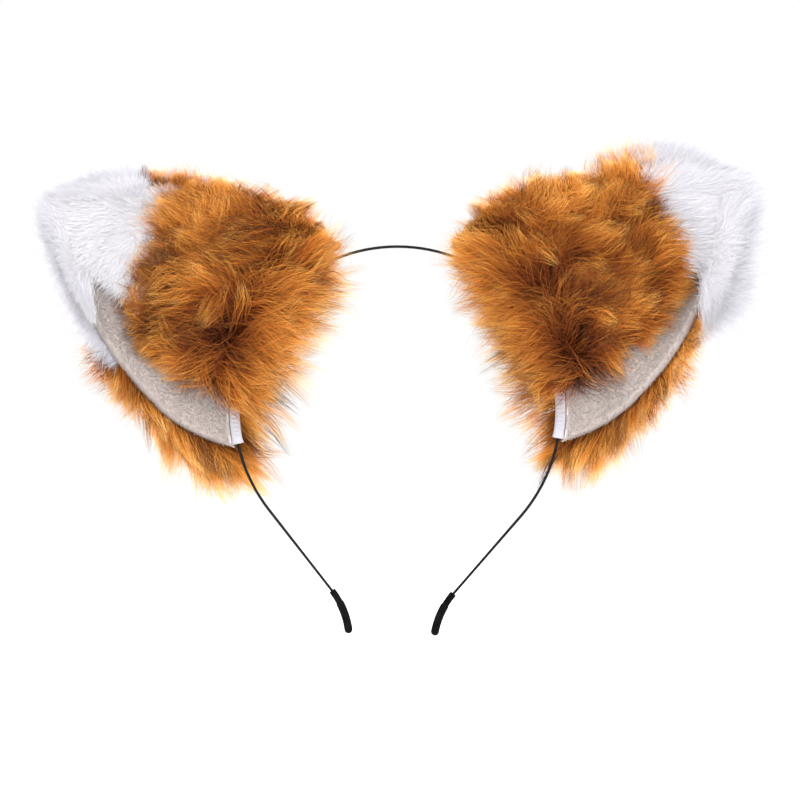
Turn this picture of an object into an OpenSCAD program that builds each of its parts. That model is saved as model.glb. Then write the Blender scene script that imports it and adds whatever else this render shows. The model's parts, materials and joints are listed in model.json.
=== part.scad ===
// Animal ears headband: a spring-wire hoop that carries two cupped fur ears.
// Frame: +Z up, +X to the viewer's right, -Y is the front of the ears.
// The origin is the centre of the hoop's round part, where the wearer's head sits.

/* [Wire hoop] */
// Radius of the round part of the hoop, to the middle of the wire
hoop_r = 63; // [58:0.5:72]
// Diameter of the spring wire
wire_d = 1.1; // [0.8:0.05:1.2]
// How far the round part runs below the horizontal on the right, in degrees
arc_end_right = 41; // [32:0.5:48]
// How far the round part runs below the horizontal on the left, in degrees
arc_end_left = 38; // [32:0.5:48]
// Length of each straight leg
leg_len = 39.5; // [30:0.5:50]
// Bend radius of each leg's end, which turns out towards the vertical
bend_r = 31.5; // [25:0.5:45]
// Angle of that bend, in degrees
bend_angle = 30; // [20:1:35]

/* [Tip caps] */
// Outer diameter of a cap at its rounded lower end
cap_d = 3.2; // [2.6:0.1:4.5]
// Outer diameter of the slimmer collar at the cap's open end
cap_collar_d = 2.7; // [2.2:0.1:4]
// Share of the cap's length that is collar
cap_collar_share = 0.3; // [0.1:0.05:0.5]
// How much of the bend the wire fills inside the cap
wire_in_cap = 0.8; // [0.5:0.05:0.9]

/* [Ear positions] */
// Angle of the right ear's axis above the horizontal, in degrees
ear_at_right = 29.5; // [24:0.5:33]
// Angle of the left ear's axis above the horizontal, in degrees
ear_at_left = 27.5; // [24:0.5:33]

/* [Ear shape] */
// Distance of the ear's tip from the hoop's centre
tip_reach = 150; // [135:1:160]
// Half of the ear's greatest width, without the pile
ear_half = 45.5; // [38:0.5:50]
// How far the side edges curl forward
curl = 13; // [6:0.5:18]
// How far the middle of the ear bulges backward
dish = 5; // [0:0.5:8]
// How far the tip leans forward
tip_lean = 4; // [0:0.5:10]
// How far the tip sweeps towards the crown
tip_sweep = 8.5; // [0:0.5:10]

/* [Ear layers] */
// Thickness of the front lining
lining_t = 1.2; // [0.8:0.1:2]
// Thickness of the foam stiffener between the two faces
foam_t = 2; // [1:0.1:3]
// Depth of the fur on the back of the ear, as it lies
back_pile = 9; // [5:0.5:12]
// How far the back fur stands out past the rim
rim_pile = 8; // [3:0.5:10]
// Depth of the long fur inside the ear, as it lies
tuft_pile = 10; // [6:0.5:14]
// Depth of the white fur on the front of the tip
tip_pile = 7; // [4:0.5:10]
// Where the white tip starts on the back, as a share of the ear's length
back_seam = 0.63; // [0.5:0.01:0.72]
// Where the white tip starts on the front, as a share of the ear's length
front_seam = 0.78; // [0.7:0.01:0.88]

/* [Ribbon casing] */
// Width of the ribbon tube across the wire, seen from the front
casing_w = 4; // [3:0.1:5]
// Thickness of the ribbon tube from front to back
casing_t = 2.4; // [2:0.1:3]
// Half of the angle that each casing covers, in degrees
casing_half = 39.6; // [34:0.2:42]

/* [Hidden] */
$fn = 48;
wire_r = wire_d / 2;
slide_gap = 0.3;              // between the wire and the ribbon around it
cap_gap = 0.02;               // between the wire and a cap's bore
crown_gap = 0.05;             // degrees that each half of the wire stops short of the crown
end_swell = 0.005;            // how much a ball that closes or joins a round bar stands out of it
layer_gap = 0.35;             // between two layers of an ear
sew_gap = 1.3;                // between the casing and the base of the ear
seam_gap = 0.009;             // share of the ear's length left open at a seam
base_r = hoop_r + casing_w / 2 + sew_gap;
base_pinch = 0.04;            // how much the ear narrows where it meets the casing
tip_blunt = 0.9;              // under 1 leaves the tip blunt
side_power = 2.2;             // how late the sides start to taper
tip_round = 5;                // how far the tip's corners drop below its middle
curl_power = 2.2;             // how sharply the edges curl
curl_start = 0.35;            // share of the length over which the curl builds up
foam_width = 0.93;            // share of the ear's width that the foam fills
foam_length = 0.97;           // share of the ear's length at which the foam ends
tuft_start = 0.015;           // share of the ear's length that the long fur leaves clear at the base
tuft_end = front_seam - 0.03; // share of the ear's length at which it ends
rim_inset = 1.3;              // how far the rim's thread lies inside the rim
thread_d = 0.6;
rim_start = 0.05;             // share of the ear's length left bare at each end of the seam
rim_stitch_len = 0.022;       // share of the ear's length
rim_stitches_per_side = 14;
casing_stitches = 11;
casing_stitch_angle = 2.6;
row_len = 0.08;               // share of the ear's length in one step along it
cols = 12;                    // steps across the ear

back_depth = lining_t + foam_t + 2 * layer_gap;

// ---------------------------------------------------------------- wire hoop

// Lays a flat drawing's X and Y along the part's X and Z, and its Z towards the front.
module upright() {
  rotate([90, 0, 0])
    children();
}

// Moves to the point where one leg leaves the round part, with +X along the leg.
module at_leg(arc_end) {
  upright()
    rotate([0, 0, -arc_end])
      translate([hoop_r, 0, 0])
        rotate([0, 0, -90])
          children();
}

// Moves to the centre of a leg's end bend, from which the bend is revolved.
module at_bend(arc_end) {
  at_leg(arc_end)
    translate([leg_len, bend_r, 0])
      rotate([0, 0, -90])
        children();
}

// Half of the hoop, from just short of the crown down to the end inside the cap.
module half_wire(arc_end) {
  upright()
    rotate([0, 0, -arc_end])
      rotate_extrude(angle = 90 + arc_end - crown_gap, $fn = 96)
        translate([hoop_r, 0])
          circle(r = wire_r);
  at_leg(arc_end)
    rotate([0, 90, 0])
      cylinder(r = wire_r, h = leg_len);
  at_bend(arc_end)
    rotate_extrude(angle = bend_angle * wire_in_cap, $fn = 96)
      translate([bend_r, 0])
        circle(r = wire_r);
}

// The two halves meet in a bead at the crown, which makes them one wire.
module band_wire() {
  color("#17171a")
    union() {
      half_wire(arc_end_right);
      mirror([1, 0, 0])
        half_wire(arc_end_left);
      translate([0, 0, hoop_r])
        sphere(r = wire_r + end_swell);
    }
}

// ---------------------------------------------------------------- tip caps

// One stretch of a cap around the bend, from one share of it to another.
module cap_stretch(from_share, to_share, d) {
  rotate([0, 0, bend_angle * from_share])
    rotate_extrude(angle = bend_angle * (to_share - from_share), $fn = 96)
      translate([bend_r, 0])
        circle(d = d);
}

module tip_cap(arc_end) {
  color("#1b1b1d")
    at_bend(arc_end)
      difference() {
        union() {
          cap_stretch(0, cap_collar_share, cap_collar_d);
          cap_stretch(cap_collar_share, 1, cap_d);
          rotate([0, 0, bend_angle])
            translate([bend_r, 0, 0])
              sphere(r = cap_d / 2 + end_swell);
        }
        cap_stretch(0, wire_in_cap + cap_gap, wire_d + 2 * cap_gap);
      }
}

// ---------------------------------------------------------------- casing

// Flat tube section with half-round edges and a round hole for the wire.
module casing_section() {
  difference() {
    union() {
      square([casing_w - casing_t, casing_t], center = true);
      for (side = [-1, 1])
        translate([side * (casing_w - casing_t) / 2, 0])
          circle(d = casing_t);
    }
    circle(r = wire_r + slide_gap);
  }
}

module casing(ear_at) {
  color("#e9e6ee")
    upright()
      rotate([0, 0, ear_at - casing_half])
        rotate_extrude(angle = 2 * casing_half, $fn = 96)
          translate([hoop_r, 0])
            casing_section();
}

// Thread laid along the outer edge of the casing, where the ear is sewn on.
module casing_stitch_row(ear_at) {
  pitch = 2 * (casing_half - 2) / (casing_stitches - 1);
  stitch_r = hoop_r + casing_w / 2 + thread_d / 2 + layer_gap;
  color("#f2f0f4")
    upright()
      for (i = [0 : casing_stitches - 1])
        rotate([0, 0, ear_at + (i - (casing_stitches - 1) / 2) * pitch])
          rotate([0, 0, -casing_stitch_angle / 2])
            rotate_extrude(angle = casing_stitch_angle, $fn = 96)
              translate([stitch_r, 0])
                circle(d = thread_d, $fn = 24);
}

// ---------------------------------------------------------------- ear surface
// s runs across the ear from -1 at the outer edge to +1 at the crown edge.
// t runs along the ear from 0 at the casing to 1 at the tip.

function smooth(x) = let (c = min(max(x, 0), 1)) c * c * (3 - 2 * c);

// Half of the ear's width at t.
function half_at(t) =
  ear_half * (1 - pow(tip_blunt * t, side_power)) * (1 - base_pinch * pow(1 - t, 8));

// Distance along the ear's axis. The base follows the hoop and the tip is rounded.
function reach_at(s, t, grow) =
  (1 - t) * sqrt(base_r * base_r - pow(s * half_at(0), 2))
  + t * (tip_reach + grow - tip_round * s * s);

// Height of the lining's front face towards the front.
function front_at(s, t) =
  curl * smooth(t / curl_start) * half_at(t) / ear_half * pow(abs(s), curl_power)
  - dish * sin(180 * t) + tip_lean * t * t;

// A point of the ear: lift is measured forward from the lining's face, and
// grow moves the rim outward.
function ear_point(s, t, lift, grow) = [
  reach_at(s, t, grow),
  s * (half_at(t) + grow) + tip_sweep * t * t,
  front_at(s, t) + lift
];

// ---------------------------------------------------------------- ear solids

// Two triangles that close the four corners a, b, c, d.
function quad(a, b, c, d) = [[a, b, c], [a, c, d]];

// Closed solid between a front grid and a back grid of points.
module slab(front, back, rows) {
  n = (rows + 1) * (cols + 1);
  at = function (i, j) i * (cols + 1) + j;
  face_groups = concat(
    [for (i = [0 : rows - 1]) for (j = [0 : cols - 1])
      quad(at(i, j), at(i, j + 1), at(i + 1, j + 1), at(i + 1, j))],
    [for (i = [0 : rows - 1]) for (j = [0 : cols - 1])
      quad(n + at(i + 1, j + 1), n + at(i, j + 1), n + at(i, j), n + at(i + 1, j))],
    [for (i = [0 : rows - 1])
      quad(at(i, 0), at(i + 1, 0), n + at(i + 1, 0), n + at(i, 0))],
    [for (i = [0 : rows - 1])
      quad(at(i + 1, cols), at(i, cols), n + at(i, cols), n + at(i + 1, cols))],
    [for (j = [0 : cols - 1])
      quad(at(0, j + 1), at(0, j), n + at(0, j), n + at(0, j + 1))],
    [for (j = [0 : cols - 1])
      quad(at(rows, j), at(rows, j + 1), n + at(rows, j + 1), n + at(rows, j))]
  );
  polyhedron(points = concat(front, back), faces = [for (g = face_groups) each g]);
}

// Layer of the ear between t0 and t1, from the edge s0(t) to the edge s = s1.
// The front and back faces are given as lift and grow functions of s and t.
module layer(t0, t1, s0, s1, front_lift, front_grow, back_lift, back_grow) {
  rows = ceil((t1 - t0) / row_len);
  steps = [for (i = [0 : rows]) for (j = [0 : cols])
    let (t = t0 + (t1 - t0) * i / rows)
    [s0(t) + (s1 - s0(t)) * j / cols, t]];
  slab(
    [for (p = steps) ear_point(p[0], p[1], front_lift(p[0], p[1]), front_grow(p[0], p[1]))],
    [for (p = steps) ear_point(p[0], p[1], back_lift(p[0], p[1]), back_grow(p[0], p[1]))],
    rows
  );
}

full_width = function (t) -1;
foam_edge = function (t) -foam_width;
level = function (value) function (s, t) value;

// Puts an ear layer in its place: local X is the ear's axis, local Z the front.
module at_ear(ear_at) {
  rotate([0, -ear_at, 0])
    upright()
      children();
}

module lining(ear_at) {
  color("#cfc4ba")
    at_ear(ear_at)
      layer(0, front_seam - seam_gap, full_width, 1,
        level(0), level(0), level(-lining_t), level(0));
}

module stiffener(ear_at) {
  color("#f5f5f0")
    at_ear(ear_at)
      layer(1 - foam_length, foam_length, foam_edge, foam_width,
        level(-lining_t - layer_gap), level(0),
        level(-lining_t - layer_gap - foam_t), level(0));
}

// How far the back fur stands off the ear: full in the middle, thin at rim and base.
function back_stand(s, t) =
  back_pile * (0.3 + 0.7 * (1 - pow(abs(s), 4)) * (0.35 + 0.65 * smooth(t / 0.25)));

// How far the back fur stands past the rim, less where it meets the casing.
function rim_stand(t) = rim_pile * (0.5 + 0.5 * smooth(t / 0.25));

module back_fur(ear_at, t0, t1) {
  at_ear(ear_at)
    layer(t0, t1, full_width, 1,
      level(-back_depth), level(0),
      function (s, t) -back_depth - back_stand(s, t), function (s, t) rim_stand(t));
}

module back_panel(ear_at) {
  color("#c07828")
    back_fur(ear_at, 0, back_seam - seam_gap);
}

module back_tip(ear_at) {
  color("#f3f1f6")
    back_fur(ear_at, back_seam, 1);
}

module front_tip(ear_at) {
  color("#f6f4f9")
    at_ear(ear_at)
      layer(front_seam, 1, full_width, 1,
        function (s, t) tip_pile * (0.35 + 0.65 * (1 - pow(s, 4)) * smooth((t - front_seam) / 0.1)),
        level(0),
        level(-lining_t), level(0));
}

// Outer edge of the long fur inside the ear: it leaves a crescent of lining bare.
tuft_edge = function (t) -0.58 + 0.7 * pow(t, 2.5);

// How far the inner fur stands off the lining, least at its own outer edge.
function tuft_stand(s, t) =
  let (p = (s - tuft_edge(t)) / (1 - tuft_edge(t)))
  layer_gap + tuft_pile * (0.3 + 0.7 * sin(180 * smooth(p * 0.9))) * (0.55 + 0.45 * smooth(t / 0.2));

module inner_tuft(ear_at) {
  color("#c47e2e")
    at_ear(ear_at)
      layer(tuft_start, tuft_end, tuft_edge, 1,
        function (s, t) tuft_stand(s, t), level(0),
        level(layer_gap), level(0));
}

// ---------------------------------------------------------------- rim stitches

// Straight piece of thread between two points.
module thread(a, b) {
  run = b - a;
  translate(a)
    rotate([0, acos(run[2] / norm(run)), atan2(run[1], run[0])])
      cylinder(d = thread_d, h = norm(run), $fn = 16);
}

module rim_stitches(ear_at) {
  depth = -(lining_t + back_depth) / 2;
  rim = function (side, t) ear_point(side * (1 - rim_inset / half_at(t)), t, depth, 0);
  color("#d9d2c8")
    at_ear(ear_at)
      for (side = [-1, 1], i = [0 : rim_stitches_per_side - 1]) {
        t = rim_start + i * (front_seam - 2 * rim_start) / (rim_stitches_per_side - 1);
        thread(rim(side, t), rim(side, t + rim_stitch_len));
      }
}

// ---------------------------------------------------------------- both sides

module left() {
  mirror([1, 0, 0])
    children();
}

// The same for pieces whose front and back are alike.
module left_flat() {
  rotate([0, 0, 180])
    children();
}

band_wire();
tip_cap(arc_end_right);  // tip_cap_right
left_flat() tip_cap(arc_end_left);  // tip_cap_left
casing(ear_at_right);  // casing_right
left_flat() casing(ear_at_left);  // casing_left
casing_stitch_row(ear_at_right);  // casing_stitches_right
left() casing_stitch_row(ear_at_left);  // casing_stitches_left
back_panel(ear_at_right);  // back_panel_right
left() back_panel(ear_at_left);  // back_panel_left
back_tip(ear_at_right);  // back_tip_right
left() back_tip(ear_at_left);  // back_tip_left
stiffener(ear_at_right);  // stiffener_right
left() stiffener(ear_at_left);  // stiffener_left
lining(ear_at_right);  // lining_right
left() lining(ear_at_left);  // lining_left
front_tip(ear_at_right);  // front_tip_right
left() front_tip(ear_at_left);  // front_tip_left
inner_tuft(ear_at_right);  // inner_tuft_right
left() inner_tuft(ear_at_left);  // inner_tuft_left
rim_stitches(ear_at_right);  // rim_stitches_right
left() rim_stitches(ear_at_left);  // rim_stitches_left
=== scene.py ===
"""Looks of the animal ears headband: sewn ears with faux-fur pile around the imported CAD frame."""
import json
import math

import bpy
import numpy as np
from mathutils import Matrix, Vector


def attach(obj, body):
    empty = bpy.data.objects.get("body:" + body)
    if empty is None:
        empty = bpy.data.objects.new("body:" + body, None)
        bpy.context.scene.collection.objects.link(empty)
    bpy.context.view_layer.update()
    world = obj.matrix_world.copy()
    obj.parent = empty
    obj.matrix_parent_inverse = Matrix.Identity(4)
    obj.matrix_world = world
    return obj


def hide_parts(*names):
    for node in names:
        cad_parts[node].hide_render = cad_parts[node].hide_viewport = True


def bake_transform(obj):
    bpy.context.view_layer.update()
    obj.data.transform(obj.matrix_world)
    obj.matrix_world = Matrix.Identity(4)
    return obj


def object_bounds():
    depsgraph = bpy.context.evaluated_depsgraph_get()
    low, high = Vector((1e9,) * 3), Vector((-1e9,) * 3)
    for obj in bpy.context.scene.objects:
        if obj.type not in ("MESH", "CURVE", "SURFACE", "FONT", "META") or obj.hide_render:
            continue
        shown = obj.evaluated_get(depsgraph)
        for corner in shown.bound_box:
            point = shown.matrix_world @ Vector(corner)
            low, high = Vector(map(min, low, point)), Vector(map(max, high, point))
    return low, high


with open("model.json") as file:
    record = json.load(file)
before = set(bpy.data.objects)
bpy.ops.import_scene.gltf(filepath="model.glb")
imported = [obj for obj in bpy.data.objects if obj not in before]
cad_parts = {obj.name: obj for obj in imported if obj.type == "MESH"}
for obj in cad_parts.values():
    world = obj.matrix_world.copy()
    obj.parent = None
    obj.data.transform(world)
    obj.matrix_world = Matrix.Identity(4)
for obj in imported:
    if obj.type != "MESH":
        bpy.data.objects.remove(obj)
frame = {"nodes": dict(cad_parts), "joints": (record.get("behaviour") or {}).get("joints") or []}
cad_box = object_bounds()

# ------------------------------------------------------------------ dimensions
# The ear is worked out in millimetres, by the same rules as the CAD layers, and
# turned into metres when a mesh is made.
MM = 0.001
HOOP_R = 63.0
CASING_W, CASING_T = 4.0, 2.4
CASING_HALF = math.radians(39.6)
BASE_R = HOOP_R + CASING_W / 2 + 1.3
TIP_REACH, EAR_HALF = 150.0, 45.5
CURL, DISH, TIP_LEAN, TIP_SWEEP = 13.0, 5.0, 4.0, 8.5
TIP_BLUNT, SIDE_POWER, TIP_ROUND = 0.9, 2.2, 5.0
BASE_PINCH, CURL_POWER, CURL_START = 0.04, 2.2, 0.35
LINING_T, FOAM_T, LAYER_GAP = 1.2, 2.0, 0.35
BACK_DEPTH = LINING_T + FOAM_T + 2 * LAYER_GAP
BACK_SEAM, FRONT_SEAM = 0.63, 0.78
RIM_ROLL = 1.9                # radius of the lining's rolled edge
UV_NAME = "OFBake"            # strands keep tone in U and distance from the root in V

SIDES = {"right": 1.0, "left": -1.0}
JOINTS = {j["name"]: j for j in frame["joints"]}


def ear_angle(side):
    """Angle of an ear's axis above the horizontal, from its tilt joint's place."""
    x, _, z = JOINTS["tilt_" + side]["pos_m"]
    return math.atan2(z, abs(x))


# ------------------------------------------------------------------ ear surface
# s runs across the ear from -1 at the outer edge to +1 at the crown edge, and
# t along it from 0 at the casing to 1 at the tip. Points are (reach, across,
# forward) in the ear's own axes.

def smooth(x):
    c = np.clip(x, 0.0, 1.0)
    return c * c * (3 - 2 * c)


def half_at(t):
    t = np.maximum(t, 0.0)
    taper = np.clip(1 - np.power(TIP_BLUNT * t, SIDE_POWER), 0, 1)
    return EAR_HALF * taper * (1 - BASE_PINCH * np.power(np.clip(1 - t, 0, 1), 8))


def ear_point(s, t, lift=0.0, grow=0.0):
    base = np.sqrt(BASE_R ** 2 - np.square(s * half_at(np.float64(0.0))))
    reach = (1 - t) * base + t * (TIP_REACH + grow - TIP_ROUND * s * s)
    across = s * (half_at(t) + grow) + TIP_SWEEP * t * t
    forward = (CURL * smooth(t / CURL_START) * half_at(t) / EAR_HALF * np.abs(s) ** CURL_POWER
               - DISH * np.sin(math.pi * t) + TIP_LEAN * t * t + lift)
    return np.stack(np.broadcast_arrays(reach, across, forward), -1)


def unit(v):
    return v / np.maximum(np.linalg.norm(v, axis=-1, keepdims=True), 1e-9)


def ear_frame(s, t):
    """Unit vectors along the ear, across it and out of its front face."""
    d = 1e-3
    along = unit(ear_point(s, t + d) - ear_point(s, t - d))
    across = unit(ear_point(s + d, t) - ear_point(s - d, t))
    return along, across, unit(np.cross(along, across))


def to_world(p, side):
    """Ear axes in millimetres to the shared frame in metres."""
    a = ear_angle(side)
    v, u, w = p[..., 0], p[..., 1], p[..., 2]
    x = v * math.cos(a) - u * math.sin(a)
    z = v * math.sin(a) + u * math.cos(a)
    return np.stack([SIDES[side] * x, -w, z], -1) * MM


# ------------------------------------------------------------------ soft noise

class Noise:
    """Smooth random field over the plane, between about -1 and 1."""

    def __init__(self, seed, scale):
        self.grid = np.random.default_rng(seed).uniform(-1, 1, (64, 64))
        self.scale = scale

    def __call__(self, x, y):
        x, y = np.asarray(x) / self.scale, np.asarray(y) / self.scale
        i, j = np.floor(x).astype(int), np.floor(y).astype(int)
        fx, fy = smooth(x - i), smooth(y - j)
        g = self.grid
        a, b = g[i % 64, j % 64], g[(i + 1) % 64, j % 64]
        c, d = g[i % 64, (j + 1) % 64], g[(i + 1) % 64, (j + 1) % 64]
        return (a * (1 - fx) + b * fx) * (1 - fy) + (c * (1 - fx) + d * fx) * fy


# ------------------------------------------------------------------ mesh making

def add_object(name, mesh, material, body=None):
    ob = bpy.data.objects.new(name, mesh)
    bpy.context.scene.collection.objects.link(ob)
    mesh.materials.append(material)
    if body:
        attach(ob, body)
    return ob


def triangle_mesh(name, points, tris, uv=None):
    """Mesh of triangles from arrays, smooth, with the bake's UV layer if uv is given per corner."""
    me = bpy.data.meshes.new(name)
    me.vertices.add(len(points))
    me.vertices.foreach_set("co", np.ascontiguousarray(points, np.float32).ravel())
    me.loops.add(tris.size)
    me.loops.foreach_set("vertex_index", np.ascontiguousarray(tris, np.int32).ravel())
    me.polygons.add(len(tris))
    me.polygons.foreach_set("loop_start", np.arange(0, tris.size, 3, dtype=np.int32))
    me.polygons.foreach_set("use_smooth", np.ones(len(tris), bool))
    me.update(calc_edges=True)
    if uv is not None:
        layer = me.uv_layers.new(name=UV_NAME)
        layer.data.foreach_set("uv", np.ascontiguousarray(uv, np.float32).ravel())
    return me


def grid_mesh(name, rows_of_points, close=False):
    """Smooth quad sheet from a grid of points, shape (rows, columns, 3)."""
    n, m = rows_of_points.shape[:2]
    me = bpy.data.meshes.new(name)
    verts = rows_of_points.reshape(-1, 3)
    faces = []
    for i in range(n - 1):
        for j in range(m if close else m - 1):
            k = (j + 1) % m
            faces.append((i * m + j, i * m + k, (i + 1) * m + k, (i + 1) * m + j))
    me.from_pydata(verts.tolist(), [], faces)
    me.polygons.foreach_set("use_smooth", np.ones(len(faces), bool))
    me.update()
    return me


def thicken(ob, thickness, offset, rim_bevel=0.0):
    solid = ob.modifiers.new("cloth_thickness", "SOLIDIFY")
    solid.thickness = thickness
    solid.offset = offset
    if rim_bevel:
        bevel = ob.modifiers.new("soft_edge", "BEVEL")
        bevel.width = rim_bevel
        bevel.segments = 3
        bevel.limit_method = "ANGLE"
    return ob


# ------------------------------------------------------------------ materials

def new_material(name, **sockets):
    mat = bpy.data.materials.new(name)
    mat.use_nodes = True
    nodes = mat.node_tree.nodes
    bsdf = nodes["Principled BSDF"]
    for key, value in sockets.items():
        bsdf.inputs[key].default_value = value
    return mat, mat.node_tree, bsdf


def ramp(tree, stops):
    node = tree.nodes.new("ShaderNodeValToRGB")
    elements = node.color_ramp.elements
    while len(elements) < len(stops):
        elements.new(0.5)
    for element, (at, colour) in zip(elements, stops):
        element.position = at
        element.color = (*colour, 1.0)
    return node


def multiply(tree, a, b):
    node = tree.nodes.new("ShaderNodeMix")
    node.data_type = "RGBA"
    node.blend_type = "MULTIPLY"
    node.inputs["Factor"].default_value = 1.0
    tree.links.new(a, node.inputs["A"])
    tree.links.new(b, node.inputs["B"])
    return node.outputs["Result"]


def pile_material(name, along, tone, **sockets):
    """Fur or nap: colour from root to tip, varied by each strand's tone."""
    mat, tree, bsdf = new_material(name, **sockets)
    uv = tree.nodes.new("ShaderNodeUVMap")
    uv.uv_map = UV_NAME
    split = tree.nodes.new("ShaderNodeSeparateXYZ")
    tree.links.new(uv.outputs["UV"], split.inputs[0])
    length_ramp = ramp(tree, along)
    tone_ramp = ramp(tree, tone)
    tree.links.new(split.outputs["Y"], length_ramp.inputs[0])
    tree.links.new(split.outputs["X"], tone_ramp.inputs[0])
    colour = multiply(tree, length_ramp.outputs["Color"], tone_ramp.outputs["Color"])
    tree.links.new(colour, bsdf.inputs["Base Color"])
    return mat


def noise_material(name, dark, light, scale, bump=0.2, bump_scale=None, **sockets):
    """Cloth, foam, rubber or enamel: two colours mottled by noise, with a fine bump."""
    mat, tree, bsdf = new_material(name, **sockets)
    coords = tree.nodes.new("ShaderNodeTexCoord")
    noise = tree.nodes.new("ShaderNodeTexNoise")
    noise.inputs["Scale"].default_value = scale
    noise.inputs["Detail"].default_value = 4.0
    tree.links.new(coords.outputs["Object"], noise.inputs["Vector"])
    colours = ramp(tree, [(0.35, dark), (0.65, light)])
    tree.links.new(noise.outputs["Fac"], colours.inputs[0])
    tree.links.new(colours.outputs["Color"], bsdf.inputs["Base Color"])
    fine = tree.nodes.new("ShaderNodeTexNoise")
    fine.inputs["Scale"].default_value = bump_scale or scale * 4
    fine.inputs["Detail"].default_value = 3.0
    tree.links.new(coords.outputs["Object"], fine.inputs["Vector"])
    bumper = tree.nodes.new("ShaderNodeBump")
    bumper.inputs["Strength"].default_value = bump
    bumper.inputs["Distance"].default_value = 0.0004
    tree.links.new(fine.outputs["Fac"], bumper.inputs["Height"])
    tree.links.new(bumper.outputs["Normal"], bsdf.inputs["Normal"])
    return mat


ORANGE_ALONG = [(0.0, (0.030, 0.006, 0.001)), (0.35, (0.18, 0.035, 0.004)),
                (0.68, (0.48, 0.118, 0.009)), (0.88, (0.84, 0.34, 0.055)), (1.0, (1.0, 0.62, 0.22))]
# painted light: a paler copy of the orange fur for the fringe, spill and crown edge behind the ear,
# where less light reaches
RIM_PAINTED_LIGHT_ALONG = [(0.0, (0.08, 0.019, 0.002)), (0.35, (0.34, 0.087, 0.008)),
             (0.68, (0.70, 0.235, 0.026)), (1.0, (1.0, 0.62, 0.22))]
# the upper end, above 1, paints golden highlights on the palest locks
ORANGE_TONE = [(0.0, (0.12, 0.08, 0.06)), (0.5, (0.74, 0.66, 0.50)), (1.0, (1.38, 1.70, 2.1))]
WHITE_ALONG = [(0.0, (0.78, 0.77, 0.80)), (0.4, (0.82, 0.81, 0.84)), (1.0, (0.86, 0.85, 0.88))]
WHITE_TONE = [(0.0, (0.56, 0.555, 0.59)), (0.7, (0.96, 0.95, 0.97)), (1.0, (1.0, 1.0, 1.0))]
VELOUR_ALONG = [(0.0, (0.33, 0.29, 0.277)), (1.0, (0.55, 0.49, 0.475))]
VELOUR_TONE = [(0.0, (0.60, 0.575, 0.56)), (1.0, (1.14, 1.15, 1.18))]

MATERIALS = {
    "orange_fur": pile_material("orange_fur", ORANGE_ALONG, ORANGE_TONE,
                                **{"Roughness": 0.45, "Specular IOR Level": 0.25}),
    "orange_fur_painted_light_rim": pile_material("orange_fur_painted_light_rim", RIM_PAINTED_LIGHT_ALONG, ORANGE_TONE,
                                    **{"Roughness": 0.45, "Specular IOR Level": 0.25}),
    # painted light: the white fur glows a little, which lifts its shade
    "white_fur": pile_material("white_fur", WHITE_ALONG, WHITE_TONE,
                               **{"Roughness": 0.6, "Specular IOR Level": 0.2, "Sheen Weight": 0.3,
                                  "Emission Color": (1, 0.99, 1, 1), "Emission Strength": 0.11}),
    "velour": pile_material("velour_nap", VELOUR_ALONG, VELOUR_TONE,
                            **{"Roughness": 0.8, "Specular IOR Level": 0.2}),
    "velour_cloth": noise_material("velour_cloth", (0.35, 0.30, 0.275), (0.43, 0.375, 0.35), 1500, 0.4,
                                   **{"Roughness": 0.9, "Specular IOR Level": 0.15}),
    "orange_hide": noise_material("orange_hide", (0.05, 0.014, 0.003), (0.16, 0.05, 0.008), 300, 0.5,
                                  **{"Roughness": 0.95, "Specular IOR Level": 0.1}),
    "white_hide": noise_material("white_hide", (0.74, 0.73, 0.76), (0.80, 0.79, 0.82), 300, 0.5,
                                 **{"Roughness": 0.95, "Specular IOR Level": 0.1}),
    "foam": noise_material("foam_core", (0.72, 0.71, 0.66), (0.86, 0.85, 0.81), 700, 0.6,
                           **{"Roughness": 0.9}),
    "ribbon": noise_material("ribbon_weave", (0.38, 0.375, 0.415), (0.43, 0.425, 0.465), 2600,
                             0.12, 5200, **{"Roughness": 0.6, "Sheen Weight": 0.1}),
    "thread": noise_material("sewing_thread", (0.5, 0.49, 0.52), (0.62, 0.61, 0.64), 2200, 0.4,
                             **{"Roughness": 0.6}),
    "beige_thread": noise_material("rim_thread", (0.42, 0.36, 0.32), (0.55, 0.48, 0.43), 2200, 0.4,
                                   **{"Roughness": 0.6}),
    "wire": noise_material("wire_enamel", (0.003, 0.003, 0.0035), (0.007, 0.007, 0.008), 500, 0.08,
                           **{"Roughness": 0.34, "Specular IOR Level": 0.12}),
    "rubber": noise_material("cap_rubber", (0.0015, 0.0015, 0.002), (0.005, 0.005, 0.006), 420, 0.15,
                             **{"Roughness": 0.4, "Specular IOR Level": 0.04}),
}


# ------------------------------------------------------------------ pile
PRESS_FROM, PRESS_KEEP = 13.0, 0.40   # pile further forward is pressed back to this share
MAX_TRIS = 190000             # most triangles in one mesh piece; a piece with more than 200,000 would be thinned on export
TWIST_SEED = 1000
SEEDS = {"inner_tuft": 11, "back": 31, "front_tip": 51, "nap": 71}
STAND_SPREAD, LAY_SPREAD = 12, 9      # how far locks differ, in degrees
STRAND_SPREAD = 8                     # and the strands of one lock


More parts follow.
